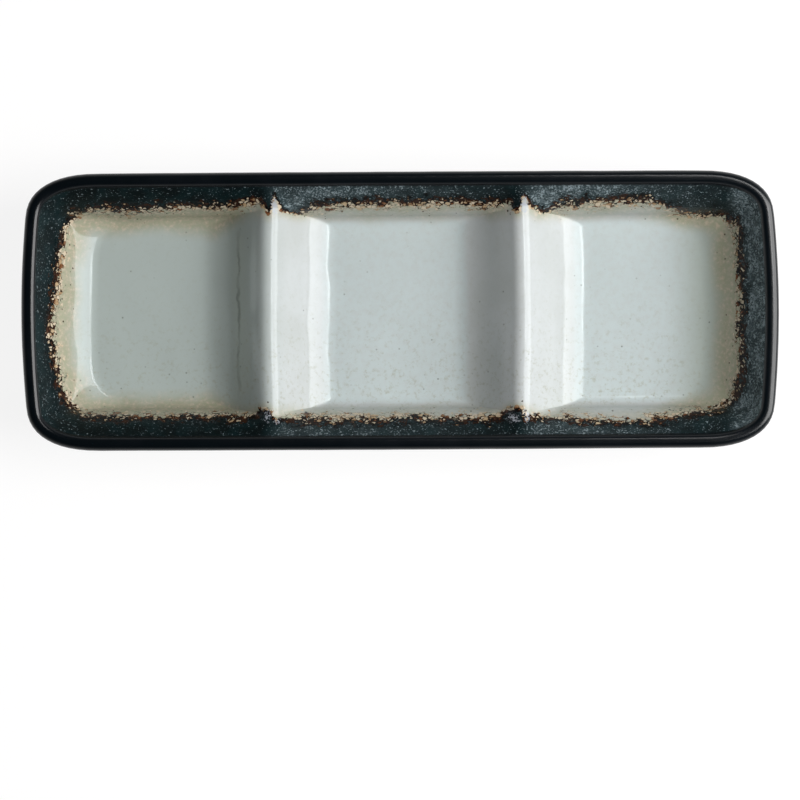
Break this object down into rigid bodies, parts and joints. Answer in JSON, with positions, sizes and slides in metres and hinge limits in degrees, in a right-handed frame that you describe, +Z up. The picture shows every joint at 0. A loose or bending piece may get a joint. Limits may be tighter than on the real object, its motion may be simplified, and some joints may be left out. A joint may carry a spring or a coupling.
{
  "type": "condiment dish",
  "caption": "Long stoneware dish with square wells side by side under one rim, parted by rounded ridges with arches beneath, for holding dips, sauces or condiments.",
  "frame": {"origin": "on the table, under the middle of the dish", "axes": "+X along the length, through the row of wells; +Y across the width; +Z up, out of the wells"},
  "size_m": [0.245, 0.09, 0.03],
  "materials": {
    "bare_stoneware": "unglazed, matt",
    "matt_black_glaze": "matt, finely textured",
    "speckled_dark_glaze": "satin, with fine pale specks",
    "rust_glaze": "gloss, broken rust and ochre",
    "celadon_glaze": "gloss"
  },
  "bodies": {
    "root": {"stoneware_body": "bare_stoneware", "outer_black_glaze": "matt_black_glaze", "speckled_band_glaze": "speckled_dark_glaze", "rust_break_glaze": "rust_glaze", "left_well_glaze": "celadon_glaze", "centre_well_glaze": "celadon_glaze", "right_well_glaze": "celadon_glaze"}
  },
  "joints": []
}
